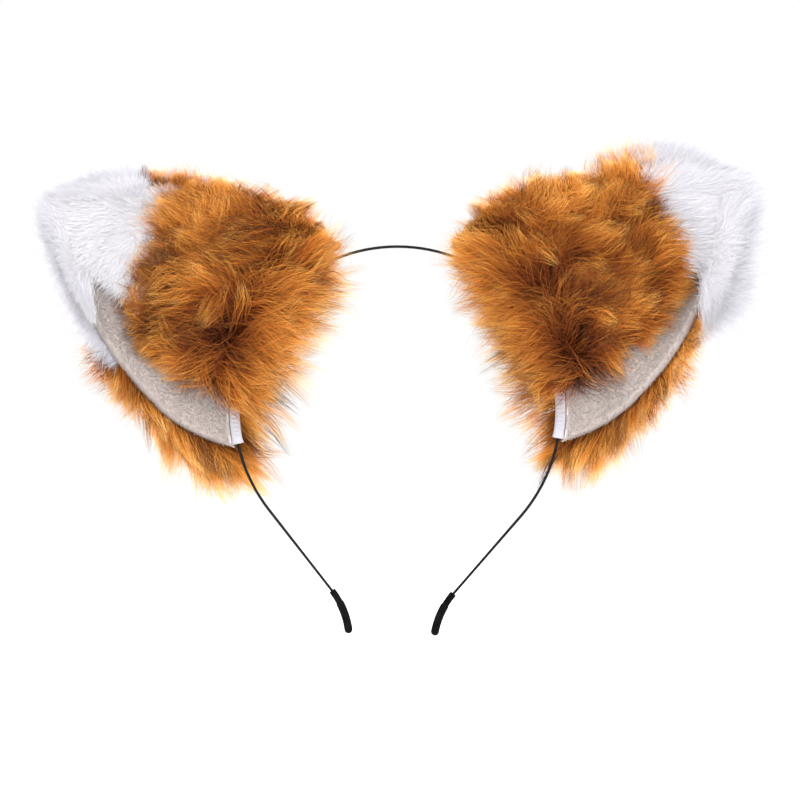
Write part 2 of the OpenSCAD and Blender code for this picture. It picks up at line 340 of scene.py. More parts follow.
def strand_arrays(paths, radius, twist):
    """Closed three-sided tapered strands along paths of shape (strands, points, 3)."""
    count, knots = paths.shape[:2]
    run = unit(paths[:, -1] - paths[:, 0])
    helper = np.where(np.abs(run[:, 2:3]) < 0.8, [[0.0, 0.0, 1.0]], [[1.0, 0.0, 0.0]])
    side = unit(np.cross(run, helper))
    up = np.cross(side, run)
    rings = knots - 1
    share = np.arange(rings) / rings
    thick = radius[:, None] * np.power(1 - share, 0.55)[None, :]
    angle = twist[:, None] + np.arange(3)[None, :] * (2 * math.pi / 3)
    around = np.cos(angle)[..., None] * side[:, None, :] + np.sin(angle)[..., None] * up[:, None, :]
    body = paths[:, :rings, None, :] + thick[:, :, None, None] * around[:, None, :, :]
    points = np.concatenate([body.reshape(count, rings * 3, 3), paths[:, -1:, :]], 1)
    tris = [(0, 2, 1)]
    for k in range(rings - 1):
        for j in range(3):
            a, b = 3 * k + j, 3 * k + (j + 1) % 3
            tris += [(a, b, b + 3), (a, b + 3, a + 3)]
    last = 3 * (rings - 1)
    tris += [(last + j, last + (j + 1) % 3, last + 3) for j in range(3)]
    pattern = np.array(tris)
    size = points.shape[1]
    all_tris = (pattern[None] + (np.arange(count) * size)[:, None, None]).reshape(-1, 3)
    height = np.concatenate([np.repeat(share, 3), [1.0]])
    return points.reshape(-1, 3), all_tris, pattern, height


def seed_of(piece, side):
    return SEEDS[piece] + (1 if side == "left" else 0)


def joined(*patches):
    """The paths, radii and tones of several patches as one."""
    return tuple(np.concatenate(parts) for parts in zip(*patches))


def make_pile(name, side, patch, material, place, node):
    """Turns strand paths in ear axes into as few mesh pieces as the face limit allows."""
    paths, radius, tone = patch
    tris_per_strand = 6 * (paths.shape[1] - 2) + 4
    parts = math.ceil(len(paths) * tris_per_strand / MAX_TRIS)
    for k, part in enumerate(np.array_split(np.arange(len(paths)), parts)):
        rng = np.random.default_rng(TWIST_SEED + k)
        pressed = paths[part].copy()
        proud = np.maximum(pressed[..., 2] - PRESS_FROM, 0)
        pressed[..., 2] -= proud * (1 - PRESS_KEEP)
        twist = rng.uniform(0, 6.28, len(part))
        points, tris, pattern, height = strand_arrays(to_world(pressed, side), radius[part] * MM, twist)
        uv = np.empty((len(part), len(pattern), 3, 2))
        uv[..., 0] = np.clip(tone[part], 0.01, 0.99)[:, None, None]
        uv[..., 1] = (0.01 + 0.98 * height[pattern])[None]
        label = f"{name}_{side}_{k + 1}" if parts > 1 else f"{name}_{side}"
        me = triangle_mesh(label, points, tris, uv.reshape(-1, 2))
        piece = place(add_object(label, me, MATERIALS[material]))
        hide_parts(node + "_" + side)


def comb(rng, root, normal, flow, length, stand, lay, knots, wave=0.0, frizz=0.0, droop=None):
    """Strand paths that leave the skin at the angle stand and bend over to the angle lay."""
    count = len(root)
    side = np.cross(normal, flow)
    paths = np.empty((count, knots, 3))
    paths[:, 0] = root
    phase = rng.uniform(0, 2 * math.pi, count)
    for k in range(1, knots):
        q = (k - 0.5) / (knots - 1)
        angle = lay + (stand - lay) * (1 - q) ** 1.3
        swing = wave * np.sin(phase + 4.0 * q)
        step = (np.cos(angle)[:, None] * flow + np.sin(angle)[:, None] * normal
                + swing[:, None] * side + rng.normal(0, frizz, (count, 3)))
        if droop is not None:
            step = step + q * droop
        paths[:, k] = paths[:, k - 1] + unit(step) * (length / (knots - 1))[:, None]
    return paths


def gather(strands, lock_paths, lock_of, strength):
    """Pulls each strand towards its lock's own path, more so near the tip."""
    q = np.linspace(0, 1, strands.shape[1])[None, :, None]
    pull = strength[:, None, None] * q ** 1.2
    return strands + (lock_paths[lock_of] - strands) * pull


def fold(x, low, high):
    """Reflects what lies outside two edges back between them."""
    x = low + np.abs(x - low)
    return np.clip(high - np.abs(high - x), low, high)


def down(side):
    """The world's downward direction in the ear's own axes."""
    a = ear_angle(side)
    return np.array([-math.sin(a), -math.cos(a), 0.0])


def fur_patch(side, seed, locks, per_lock, region, surface, flow_at, style):
    """Strands of one fur patch. Returns paths in ear axes, strand radii and tones.

    region(rng, n) gives the locks' s and t, surface(s, t) the root points with the
    directions in which hair leaves the skin, and flow_at(root, s, t, stray) the
    directions in which the pile lies. Names ending in 0 belong to the locks.
    """
    rng = np.random.default_rng(seed)
    s0, t0 = region(rng, locks)
    uneven = np.clip(rng.normal(1.0, style["uneven"], locks), 0.5, 1.35)
    length0 = style["length"] * uneven * style["length_at"](s0, t0)
    tone0 = rng.normal(0, style["tone_spread"], locks)
    root0, normal0 = surface(s0, t0)
    flow0 = flow_at(root0, s0, t0, rng.normal(0, style["stray"], locks))
    stand0 = np.radians(style["stand"] + rng.normal(0, STAND_SPREAD, locks))
    lay0 = np.radians(style["lay"] + rng.normal(0, LAY_SPREAD, locks))
    knots = style["knots"]
    droop = style["droop"] * down(side)
    lock_paths = comb(rng, root0, normal0, flow0, length0, stand0, lay0, knots,
                      style["wave"], 0.0, droop)

    lock_of = np.repeat(np.arange(locks), per_lock)
    n = len(lock_of)
    spread = style["spread"]
    s = s0[lock_of] + rng.normal(0, spread, n) / half_at(t0[lock_of])
    t = t0[lock_of] + rng.normal(0, spread, n) / (TIP_REACH - BASE_R)
    low, high, t_low, t_high = style["limits"](t)
    s, t = fold(s, low, high), fold(t, t_low, t_high)
    root, normal = surface(s, t)
    flow = flow_at(root, s, t, rng.normal(0, style["stray"] * 0.5, n))
    flow = unit(flow + 1.2 * flow0[lock_of])
    length = length0[lock_of] * rng.uniform(0.72, 1.08, n)
    stand = stand0[lock_of] + np.radians(rng.normal(0, STRAND_SPREAD, n))
    lay = lay0[lock_of] + np.radians(rng.normal(0, STRAND_SPREAD, n))
    strands = comb(rng, root, normal, flow, length, stand, lay, knots, style["wave"] * 0.5,
                   style["frizz"], droop)
    strength = style["clump"] * rng.uniform(style["hold"], 1.0, n)
    strands = gather(strands, lock_paths, lock_of, strength)
    radius = style["radius"] * rng.uniform(0.7, 1.25, n)
    # painted light: locks that stand higher are paler, the lower ones darker
    raised = (stand0[lock_of] - math.radians(style["stand"])) / math.radians(STAND_SPREAD)
    tone = (0.55 + tone0[lock_of] + rng.normal(0, 0.09, n) + style["raised_painted_light"] * raised
            + style["tone_at"](s, t))
    return strands, radius, tone


# ------------------------------------------------------------------ what the photograph shows
# Lengths are in millimetres, points in the ear's own axes, and seams are shares of
# the ear's length. A word such as short or gain stands for a share of the hair's length.

WHORL = {"right": (42.0, 6.0), "left": (40.0, 0.0)}   # the inner tuft lies away from here
PART_HALF = {"right": 14.0, "left": 19.0}    # half the length of the parting beside the casing
PART_R = 71.0                                # where that parting runs, from the hoop's centre
SPILL = {"right": 28.0, "left": 31.0}        # length of the hair that spills inward over the wire
SPILL_FROM = {"right": (115.0, -30.0), "left": (115.0, -8.0)}   # and lies away from here
SPILL_SHORT = {"right": 0.90, "left": 0.84}  # what the spill loses towards the crown
CORNER_SHORT = 0.3                           # what it loses behind the ear's lower corner
FRINGE_SHORT = {"right": 0.5, "left": 0.36}  # what the fringe loses from the base to the seam
BASE_SHORT = {"right": 0.36, "left": 0.0}    # and what it loses right at the base
CREST = {"right": 0.55, "left": 0.2}         # what the crown edge's hair gains by the white tip

# Where the inner tuft ends and the white tip starts: the share of the ear's length
# in the middle and towards the outer edge, what it gains at the crown edge, and how
# late it gains it.
SEAM = {"right": (0.70, 0.07, 2), "left": (0.50, 0.21, 4)}
CROWN_SEAM = 0.80                            # where the hair along the crown edge turns white
OUTER_SEAM = {"right": 0.70, "left": 0.56}   # and along the outer edge

# Where the white fur spreads from: in front, behind, and past the rim.
TIP_WHORL = {"right": (106.0, 16.0), "left": (114.0, 24.0)}
BACK_TIP_WHORL = {"right": (93.0, 8.0), "left": (98.0, 7.0)}
RIM_WHORL = (118.0, 13.0)
OUTER_GAIN = {"right": 0.16, "left": -0.42}  # what the white hair gains along the outer edge
LEFT_TIP_PILE = 0.68                         # the left tip is brushed flatter than the right one
TIP_PUFF = 6.0                               # depth from which the white fur rises in front
TIP_PAINTED_LIGHT = {"right": 0.0, "left": 0.42}      # painted light: what the white fur in front gains in brightness, on the left tip
TIP_RIM_PAINTED_SHADE = -0.32                         # painted shade: the white fur past the rim is a little greyer


def even(s, t):
    return np.ones_like(s)


TUFT = {
    "length": 23.0, "length_at": even, "uneven": 0.28, "stand": 42, "lay": 2, "knots": 5,
    "wave": 0.75, "stray": 0.5, "spread": 3.4, "clump": 0.90, "hold": 0.4, "frizz": 0.06,
    "radius": 0.095, "tone_spread": 0.36, "droop": 0.10, "raised_painted_light": 0.15,
}


def ear_blend():
    """Returns a function that bakes a piece's transform into its mesh."""

    def apply(ob):
        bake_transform(ob)
        return ob
    return apply


def tuft_edge(t):
    """Outer edge of the inner tuft, beyond which the lining is bare."""
    return -0.50 + 0.62 * np.power(np.maximum(t, 0.0), 2.5)


def scatter(s, t, most):
    """Repeatable uneven lift between 0 and most, so that hair rises from several depths."""
    return most * np.mod(s * 97.31 + t * 57.17, 1.0)


def front_surface(s, t):
    _, across, normal = ear_frame(s, t)
    lean_out = 0.9 * np.power(np.clip(s, 0, 1), 6)[:, None] * across
    return ear_point(s, t, 0.5), unit(normal + lean_out)


def back_surface(s, t):
    along, across, normal = ear_frame(s, t)
    edge = np.sign(s)[:, None] * np.power(np.abs(s), 5)[:, None] * across
    tip = np.power(np.clip((t - 0.8) / 0.2, 0, 1), 2)[:, None] * along
    root = ear_point(s, t, -BACK_DEPTH - 0.8 - scatter(s, t, 1.5))
    return root, unit(-normal + 1.5 * edge + 1.3 * tip)


def tip_surface(s, t):
    along, across, normal = ear_frame(s, t)
    edge = np.sign(s)[:, None] * np.power(np.abs(s), 4)[:, None] * across
    tip = np.power(np.clip((t - 0.82) / 0.18, 0, 1), 2)[:, None] * along
    lift = 0.4 + scatter(s, t, TIP_PUFF) * (1 - np.power(np.abs(s), 4)) * smooth((t - 0.7) / 0.12)
    return ear_point(s, t, lift), unit(normal + 1.1 * edge + 1.1 * tip)


def edge_surface(s, t):
    """The rim between the ear's two faces, where hair points straight out."""
    along, across, _ = ear_frame(s, t)
    tip = smooth((t - 0.93) / 0.07)[:, None]
    out = unit((1 - tip) * np.sign(s)[:, None] * across + tip * along)
    return ear_point(s, t, -0.3 - scatter(s, t, BACK_DEPTH)), out


def spot(root, v, u, wide, tall):
    """Soft round patch of 1 around a point of the ear, fading to 0."""
    return np.exp(-np.square((root[:, 0] - v) / wide) - np.square((root[:, 1] - u) / tall))


def turned(flat, angle):
    """Plane vectors, each turned by its own angle."""
    c, k = np.cos(angle), np.sin(angle)
    return np.stack([c * flat[:, 0] - k * flat[:, 1], k * flat[:, 0] + c * flat[:, 1]], 1)


def flow_field(whorl, swirls, part_r=0.0, pull=(0.0, 0.0), spill_from=(0.0, 0.0), half_part=0.0,
               settle=False):
    """Pile that lies away from a whorl, and is turned by swirls and drawn along by pull.

    With half_part the whorl becomes a parting across the ear, of twice that length.
    Inside part_r from the hoop's centre the pile lies away from spill_from instead,
    inward over the wire. Each swirl is a noise and the angle that it turns the pile
    by, in radians. With settle, the pile lies evenly towards the lining near its outer
    edge, and rises towards the crown edge on that side.
    """
    def flow_at(root, s, t, stray):
        x, y = root[:, 0], root[:, 1]
        away = root[:, :2] - np.array(whorl)
        away[:, 1] -= np.clip(away[:, 1], -half_part, half_part)
        far = np.linalg.norm(away, axis=1, keepdims=True)
        out = unit(away / np.maximum(far, 6.0) + np.array(pull))
        turn = stray
        calm = np.zeros(len(root))
        if settle:
            calm = smooth((tuft_edge(t) + 0.45 - s) / 0.35)
            crest = smooth((s - 0.1) / 0.5) * smooth((t - 0.25) / 0.3)
            out = unit(out + np.outer(calm, (0.1, -0.7)) + np.outer(crest, (0.0, 0.5)))
        for noise, amount in swirls:
            turn = turn + (1 - 0.65 * calm) * amount * noise(x + 200, y + 200)
        flat = turned(out, turn)
        if part_r:
            wander = 1.5 * swirls[-1][0](x + 90, y + 90)
            r = np.hypot(x, y)
            inward = turned(unit(root[:, :2] - np.array(spill_from)), 0.45 * turn)
            share = smooth((r - part_r + 2.5 + wander) / 5.0)[:, None]
            flat = (1 - share) * inward + share * flat
        slope = ear_frame(s, t)[2]
        flow = np.concatenate([flat, np.zeros((len(root), 1))], 1)
        flow -= np.sum(flow * slope, 1, keepdims=True) * slope
        return unit(flow)
    return flow_at


def band_region(low, high, t_low, t_high):
    """Even spread of locks over the strip of the ear between two edges.

    The bounds along the ear are numbers, or functions of s.
    """
    def pick(rng, n):
        t = rng.uniform(0, 1, 16 * n)
        keep = rng.uniform(0, EAR_HALF, 16 * n) < half_at(t) * 0.5 * (high(t) - low(t))
        t = t[keep]
        s = low(t) + (high(t) - low(t)) * rng.uniform(0, 1, len(t))
        inside = (t >= bound(t_low, s)) & (t <= bound(t_high, s))
        s, t = s[inside], t[inside]
        take = np.arange(n) % len(s)
        return s[take], t[take]
    return pick


def bound(limit, s):
    return limit(s) if callable(limit) else limit


def full(t):
    return np.ones_like(t)


def minus(t):
    return -np.ones_like(t)


def seam_of(side):
    """Where the inner tuft meets the white tip, as a function of s."""
    start, gain, late = SEAM[side]
    return lambda s: start + gain * np.power(np.clip(s, 0, 1), late)


def mottled(shade, base, amount):
    """A tone that varies softly over the ear."""
    return lambda s, t: base + amount * shade(60 + 45 * s, 90 * t)


def tuft_tone_painted_light_and_shade(side, shade):
    """Painted shade in the hollows behind the whorl and along the parting, and painted light by both
    edges.
    """
    v0, u0 = WHORL[side]

    def tone_at(s, t):
        root = ear_point(s, t)
        # painted shade: darker in the hollow behind the whorl and deep in the parting
        dark = 0.22 * spot(root, v0 + 32, u0 + 3, 12, 20) + 0.26 * spot(root, v0 + 56, u0 - 3, 26, 16)
        part = 0.24 * np.exp(-np.square((np.hypot(root[:, 0], root[:, 1]) - PART_R) / 3.5))
        # painted light: paler towards both edges of the tuft
        edge = 0.22 * smooth((s - 0.2) / 0.7) + 0.12 * smooth((-s - 0.1) / 0.4)
        return mottled(shade, 0.08, 0.26)(s, t) - dark - part + edge
    return tone_at


def rim_region(depth, t_low, t_high, edges=(-1.0, 1.0)):
    """Locks in a strip inside the rim, on the named edges and round the tip."""
    def pick(rng, n):
        t = rng.uniform(t_low, t_high, n)
        s = rng.choice(edges, n) * (1 - depth * rng.uniform(0, 1, n))
        top = t > 1 - 0.6 * (1 - t_low) * 0.5
        s = np.where(top, rng.uniform(-1, 1, n), s)
        return s, t
    return pick


def edge_region(t_low, t_high, edges, tip_share=0.0):
    """Locks right on the rim: on the named edges, and a share of them across the tip."""
    def pick(rng, n):
        t = rng.uniform(t_low, t_high, n)
        s = rng.choice(edges, n)
        across_tip = rng.uniform(0, 1, n) < tip_share
        return np.where(across_tip, rng.uniform(-1, 1, n), s), np.where(across_tip, 1.0, t)
    return pick


def inner_tuft(side, place):
    """Orange fur that fills the ear, and the hair by the casing that spills over the wire."""
    seed = seed_of("inner_tuft", side)
    swirls = [(Noise(seed, 19.0), 0.9), (Noise(seed + 20, 8.0), 0.8)]
    flow = flow_field(WHORL[side], swirls, part_r=PART_R, pull=(0.25, 0.12),
                      spill_from=SPILL_FROM[side], half_part=PART_HALF[side], settle=True)
    shade = Noise(seed + 40, 12.0)
    seam = seam_of(side)

    def length_at(s, t):
        near_lining = 0.72 + 0.28 * smooth((s - tuft_edge(t)) / 0.4)
        near_seam = 1 - 0.45 * smooth((t - seam(s) + 0.22) / 0.22) * (1 - smooth((s - 0.3) / 0.4))
        crown_loss = (0.76 - 0.66 * smooth(t / 0.22) + 0.26 * smooth((t - 0.3) / 0.2)
                      - 0.45 * smooth((t - 0.55) / 0.2))
        crown = 1 - smooth((s - 0.5) / 0.35) * crown_loss
        return near_lining * near_seam * crown

    style = dict(TUFT, limits=lambda t: (tuft_edge(t), 0.98, 0.0, 1.0),
                 length_at=length_at, tone_at=tuft_tone_painted_light_and_shade(side, shade))
    main = fur_patch(side, seed, locks=560, per_lock=45, surface=front_surface, flow_at=flow,
                     region=band_region(tuft_edge, full, 0.0, seam), style=style)

    def spill_length(s, t):
        return (1 - SPILL_SHORT[side] * smooth((s - 0.5) / 0.4)) * (1 - 0.35 * smooth((-0.2 - s) / 0.3))

    over = dict(style, length=SPILL[side], lay=0, clump=0.93, hold=0.6,
                limits=lambda t: (tuft_edge(t), 0.98, 0.0, 0.06), length_at=spill_length,
                tone_at=mottled(shade, 0.12, 0.2))
    spill = fur_patch(side, seed + 5, locks=300, per_lock=29, surface=front_surface, flow_at=flow,
                      region=band_region(tuft_edge, full, 0.0, 0.05), style=over)
    make_pile("inner_tuft_pile", side, joined(main, spill), "orange_fur",
              place, "inner_tuft")


def crown_length_of(side):
    """Length of the hair along the crown edge: short at the casing, longer by the white tip."""
    def crown_length(s, t):
        return (0.20 + 0.65 * smooth((t - 0.06) / 0.22) - 0.25 * smooth((t - 0.3) / 0.2)
                + CREST[side] * smooth((t - 0.55) / 0.2))
    return crown_length


def tip_length_of(side):
    """Length of the white hair past the rim: less at the very tip, other along the outer edge."""
    def tip_length(s, t):
        outer = OUTER_GAIN[side] * smooth(-s / 0.6) * (1 - smooth((t - 0.84) / 0.1))
        return 1 - 0.40 * smooth((t - 0.86) / 0.1) * smooth((s + 0.7) / 0.7) + outer
    return tip_length


def back_style(side, shade):
    """The orange pile behind, which the patches along its edges vary."""
    def length_at(s, t):
        near_casing = 0.78 + 0.22 * smooth(1 - t / 0.35)
        return near_casing * (1 - 0.80 * smooth((s - 0.5) / 0.4) * (1 - 0.6 * smooth(t / 0.25)))

    return dict(TUFT, length=21.0, stand=38, lay=6, knots=4, clump=0.88, hold=0.5, spread=3.2,
                wave=0.35, stray=0.25, limits=lambda t: (-1.0, 1.0, 0.0, BACK_SEAM),
                length_at=length_at, tone_at=mottled(shade, 0.14, 0.18))


def back_panel(side, place):
    """Orange fur behind, with the fringe past the outer edge, the spill and the crown edge."""
    seed = seed_of("back", side)
    swirls = [(Noise(seed, 26.0), 0.35), (Noise(seed + 20, 9.0), 0.35)]
    shade = Noise(seed + 40, 12.0)
    outer_seam = OUTER_SEAM[side]
    orange = back_style(side, shade)
    flow = flow_field((80.0, 0.0), swirls)
    main = fur_patch(side, seed, locks=700, per_lock=25, surface=back_surface, flow_at=flow,
                     region=band_region(minus, full, 0.0, BACK_SEAM), style=orange)

    def fringe_length(s, t):
        return ((1 - FRINGE_SHORT[side] * smooth((t - 0.2) / 0.35))
                * (1 - BASE_SHORT[side] * (1 - smooth((t - 0.05) / 0.12))))

    # the fringe's higher base tone is painted light
    rim = dict(orange, length=24.0, knots=5, stand=20, lay=0, droop=0.12, clump=0.97, hold=0.7,
               spread=3.6, wave=0.6, uneven=0.32, length_at=fringe_length,
               limits=lambda t: (-1.0, -0.8, 0.0, outer_seam),
               tone_at=mottled(shade, 0.34, 0.2))
    fringe_flow = flow_field((98.0, 5.0), swirls, half_part=12.0)
    fringe = fur_patch(side, seed + 3, locks=220, per_lock=28, surface=back_surface,
                       flow_at=fringe_flow, style=rim,
                       region=rim_region(0.15, 0.0, outer_seam, (-1.0,)))

    def spill_length(s, t):
        return ((1 - SPILL_SHORT[side] * smooth((s - 0.45) / 0.4))
                * (1 - CORNER_SHORT * smooth((-0.5 - s) / 0.3)))

    under = dict(orange, length=SPILL[side] * 0.92, knots=5, stand=30, lay=0, droop=0.06, clump=0.95,
                 hold=0.7, length_at=spill_length, limits=lambda t: (-1.0, 1.0, 0.0, 0.06))
    spill_flow = flow_field((90.0, 6.0), swirls, part_r=80.0, spill_from=SPILL_FROM[side])
    spill = fur_patch(side, seed + 4, locks=250, per_lock=27, surface=back_surface,
                      flow_at=spill_flow, style=under, region=band_region(minus, full, 0.0, 0.05))

    edge = dict(orange, length=16.0, knots=5, stand=46, lay=16, clump=0.97, hold=0.7, uneven=0.4,
                wave=0.5, length_at=crown_length_of(side),
                limits=lambda t: (0.95, 1.0, 0.0, CROWN_SEAM),
                tone_at=mottled(shade, 0.26, 0.18))
    crown = fur_patch(side, seed + 7, locks=150, per_lock=32, surface=edge_surface, flow_at=flow,
                      region=edge_region(0.02, CROWN_SEAM, (1.0,)), style=edge)
    make_pile("back_panel_pile", side, main, "orange_fur", place, "back_panel")
    # the fringe, spill and crown edge use the painted light of the paler orange fur
    make_pile("back_rim_pile", side, joined(fringe, spill, crown), "orange_fur_painted_light_rim",
              place, "back_panel")


WHITE = dict(TUFT, uneven=0.1, wave=0.12, stray=0.2, clump=0.4, hold=0.3, radius=0.085,
             tone_spread=0.1, raised_painted_light=0.0)


def back_tip(side, place):
    """White fur behind the tip and past its rim."""
    seed = seed_of("back", side)
    outer_seam = OUTER_SEAM[side]
    swirls = [(Noise(seed + 2, 24.0), 0.3), (Noise(seed + 22, 8.0), 0.25)]
    flow = flow_field(BACK_TIP_WHORL[side], swirls)
    length = 22.5 * (LEFT_TIP_PILE if side == "left" else 1.0)
    white = dict(WHITE, length=length, knots=4, stand=32, lay=2, spread=2.9, droop=0.04,
                 limits=lambda t: (-1.0, 1.0, BACK_SEAM, 1.0), tone_at=lambda s, t: 0.0)
    main = fur_patch(side, seed + 5, locks=900, per_lock=16, surface=back_surface, flow_at=flow,
                     region=band_region(minus, full, BACK_SEAM, 1.0), style=white)

    rim = dict(white, length=1.1 * length, stand=12, lay=0, length_at=tip_length_of(side),
               limits=lambda t: (-1.0, 1.0, outer_seam, 1.0), tone_at=lambda s, t: TIP_RIM_PAINTED_SHADE)
    fringe = fur_patch(side, seed + 6, locks=620, per_lock=16, surface=back_surface, flow_at=flow,
                       region=rim_region(0.25, outer_seam + 0.02, 1.0), style=rim)

    outline = dict(rim, length=0.9 * length, stand=45, lay=15,
                   limits=lambda t: (-1.0, 1.0, CROWN_SEAM, 1.0))
    edge = fur_patch(side, seed + 8, locks=380, per_lock=16, surface=edge_surface,
                     flow_at=flow_field(RIM_WHORL, swirls), style=outline,
                     region=edge_region(CROWN_SEAM, 1.0, (-1.0, 1.0), 0.35))
    make_pile("back_tip_pile", side, joined(main, fringe, edge), "white_fur",
              place, "back_tip")


def white_edge(t):
    """Outer edge of the white fur on the front: the lining keeps its rim up to the CAD's seam."""
    return np.where(t < FRONT_SEAM, 0.06 - 0.56 * t, -1.0)


def front_tip(side, place):
    """White fur on the front of the tip, down to the end of the inner tuft."""
    seed = seed_of("front_tip", side)
    swirls = [(Noise(seed, 20.0), 0.3), (Noise(seed + 20, 8.0), 0.3)]
    length = 13.0 * (LEFT_TIP_PILE if side == "left" else 1.0)
    white = dict(WHITE, length=length, knots=4, stand=52, lay=14, spread=2.2, frizz=0.08, droop=0.02,
                 limits=lambda t: (-1.0, 1.0, 0.5, 1.0), tone_at=lambda s, t: TIP_PAINTED_LIGHT[side])
    main = fur_patch(side, seed, locks=1000, per_lock=16, surface=tip_surface,
                     flow_at=flow_field(TIP_WHORL[side], swirls), style=white,
                     region=band_region(white_edge, full, seam_of(side), 1.0))
    # painted shade: the white fur past the rim in front is a little greyer
    outline = dict(white, length=1.5 * length, stand=40, lay=8,
                   limits=lambda t: (-1.0, 1.0, FRONT_SEAM, 1.0), tone_at=lambda s, t: -0.12)
    rim = fur_patch(side, seed + 6, locks=520, per_lock=16, surface=tip_surface,
                    flow_at=flow_field(RIM_WHORL, swirls), style=outline,
                    region=rim_region(0.3, FRONT_SEAM, 1.0))
    make_pile("front_tip_pile", side, joined(main, rim), "white_fur",
              place, "front_tip")


def sheet_points(s_values, t_values, lift, side):
    """Grid of points in the world at one depth of the ear."""
    s, t = np.meshgrid(s_values, t_values)
    return to_world(ear_point(s, t, lift), side)


NAP_TRIALS, NAP_STRANDS = 90000, 18000
NAP_R = 0.10
RIM_INSET = 0.6               # how far the rolled edge stays inside the ear's outline
VELOUR_THICK, HIDE_THICK, RIBBON_THICK = 0.0008, 0.0007, 0.0003    # metres


def flat_share(t):
    """Share of the ear's half width at which the lining starts to roll over."""
    return 1 - (RIM_ROLL + RIM_INSET) / half_at(t)


def lining(side, place):
    """Velour face with its rolled edges, and the short nap that stands on it."""
    turns = 7
    t_values = np.linspace(-0.014, FRONT_SEAM + 0.02, 64)
    s, t = np.meshgrid(np.linspace(-1, 1, 61), t_values)
    s = s * flat_share(t)
    flat = ear_point(s, t)
    _, across, normal = ear_frame(s[:, [0, -1]], t[:, [0, -1]])
    columns = [flat]
    for k in range(1, turns + 1):
        a = math.pi * k / turns
        out, drop = RIM_ROLL * math.sin(a), RIM_ROLL * (1 - math.cos(a))
        low = flat[:, 0] - out * across[:, 0] - drop * normal[:, 0]
        high = flat[:, -1] + out * across[:, 1] - drop * normal[:, 1]
        columns = [low[:, None]] + columns + [high[:, None]]
    rows = to_world(np.concatenate(columns, 1), side)
    name = "lining_velour_" + side
    ob = add_object(name, grid_mesh(name, rows), MATERIALS["velour_cloth"])
    thicken(ob, VELOUR_THICK, SIDES[side])
    place(ob)
    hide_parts("lining_" + side)

    rng = np.random.default_rng(seed_of("nap", side))
    s = rng.uniform(-1.0, 1.0, NAP_TRIALS)
    t = rng.uniform(0.0, FRONT_SEAM, NAP_TRIALS)
    bare = (s < tuft_edge(t) + 0.12) | (s > 0.92)
    s, t = s[bare][:NAP_STRANDS], t[bare][:NAP_STRANDS]
    n = len(s)
    flat_half = flat_share(t)
    over = np.clip((np.abs(s) - flat_half) / (1.0 - flat_half), 0, 1)
    core = np.clip(s, -flat_half, flat_half)
    along, across, normal = ear_frame(core, t)
    a = over * math.pi * 0.8
    outward = np.sign(s)[:, None] * across
    root = (ear_point(core, t) + (RIM_ROLL * np.sin(a))[:, None] * outward
            - (RIM_ROLL * (1 - np.cos(a)))[:, None] * normal)
    up = np.cos(a)[:, None] * normal + np.sin(a)[:, None] * outward
    whirl = Noise(81, 9.0)
    turn = 0.5 * whirl(root[:, 0] + 100, root[:, 1] + 100)
    flow = unit(np.cos(turn)[:, None] * along - np.sin(turn)[:, None] * across)
    length = rng.uniform(0.5, 0.9, n)
    stand, lay = np.full(n, 1.4), np.full(n, 1.1)
    paths = comb(rng, root - 0.1 * up, up, flow, length, stand, lay, 3, 0.0, 0.25)
    mottle, broad = Noise(91, 1.0), Noise(92, 11.0)
    # painted light: the nap on the rolled edge is paler, as where the edge catches light
    tone = (0.45 + 0.04 * mottle(root[:, 0] + 100, root[:, 1] + 100)
            + 0.12 * broad(root[:, 0] + 100, root[:, 1] + 100) + rng.normal(0, 0.12, n) + 0.45 * over)
    make_pile("lining_nap", side, (paths, np.full(n, NAP_R), tone), "velour",
              place, "lining")


def hide_sheet(name, side, low, high, t_low, t_high, lift, material, node, place):
    """Backing cloth of a fur patch."""
    t_values = np.linspace(t_low, t_high, 28)
    share = np.linspace(0, 1, 40)
    s = low(t_values)[:, None] + (high(t_values) - low(t_values))[:, None] * share[None, :]
    t = np.repeat(t_values[:, None], len(share), 1)
    rows = to_world(ear_point(s, t, lift), side)
    me = grid_mesh(name + "_" + side, rows)
    ob = add_object(name + "_" + side, me, MATERIALS[material])
    thicken(ob, HIDE_THICK, 0.0)
    place(ob)
    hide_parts(node + "_" + side)


def hides(side, place):
    """The cloth that each patch of fur grows from."""
    hide_sheet("back_panel_hide", side, minus, full, 0.0, BACK_SEAM, -BACK_DEPTH - 0.5,
               "orange_hide", "back_panel", place)
    hide_sheet("back_tip_hide", side, minus, full, BACK_SEAM + 0.004, 1.0, -BACK_DEPTH - 0.5,
               "white_hide", "back_tip", place)
    hide_sheet("inner_tuft_hide", side, tuft_edge, full, 0.0, SEAM[side][0] + 0.03, 0.45,
               "orange_hide", "inner_tuft", place)
    hide_sheet("front_tip_hide", side, minus, full, FRONT_SEAM - 0.02, 1.0, 0.1,
               "white_hide", "front_tip", place)


def foam_core(side, place):
    """Foam between the two faces, which keeps the ear's cupped shape."""
    s_values, t_values = np.linspace(-0.93, 0.93, 30), np.linspace(0.03, 0.97, 40)
    middle = -LINING_T - LAYER_GAP - FOAM_T / 2
    me = grid_mesh("foam_core_" + side, sheet_points(s_values, t_values, middle, side))
    ob = add_object("foam_core_" + side, me, MATERIALS["foam"])
    thicken(ob, FOAM_T * MM * 0.9, 0.0, 0.0005)
    place(ob)
    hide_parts("stiffener_" + side)


# ------------------------------------------------------------------ casing
RIB_PITCH = 1.7
RIBS_FROM = 2.0               # the hem at the lower end is plain up to here


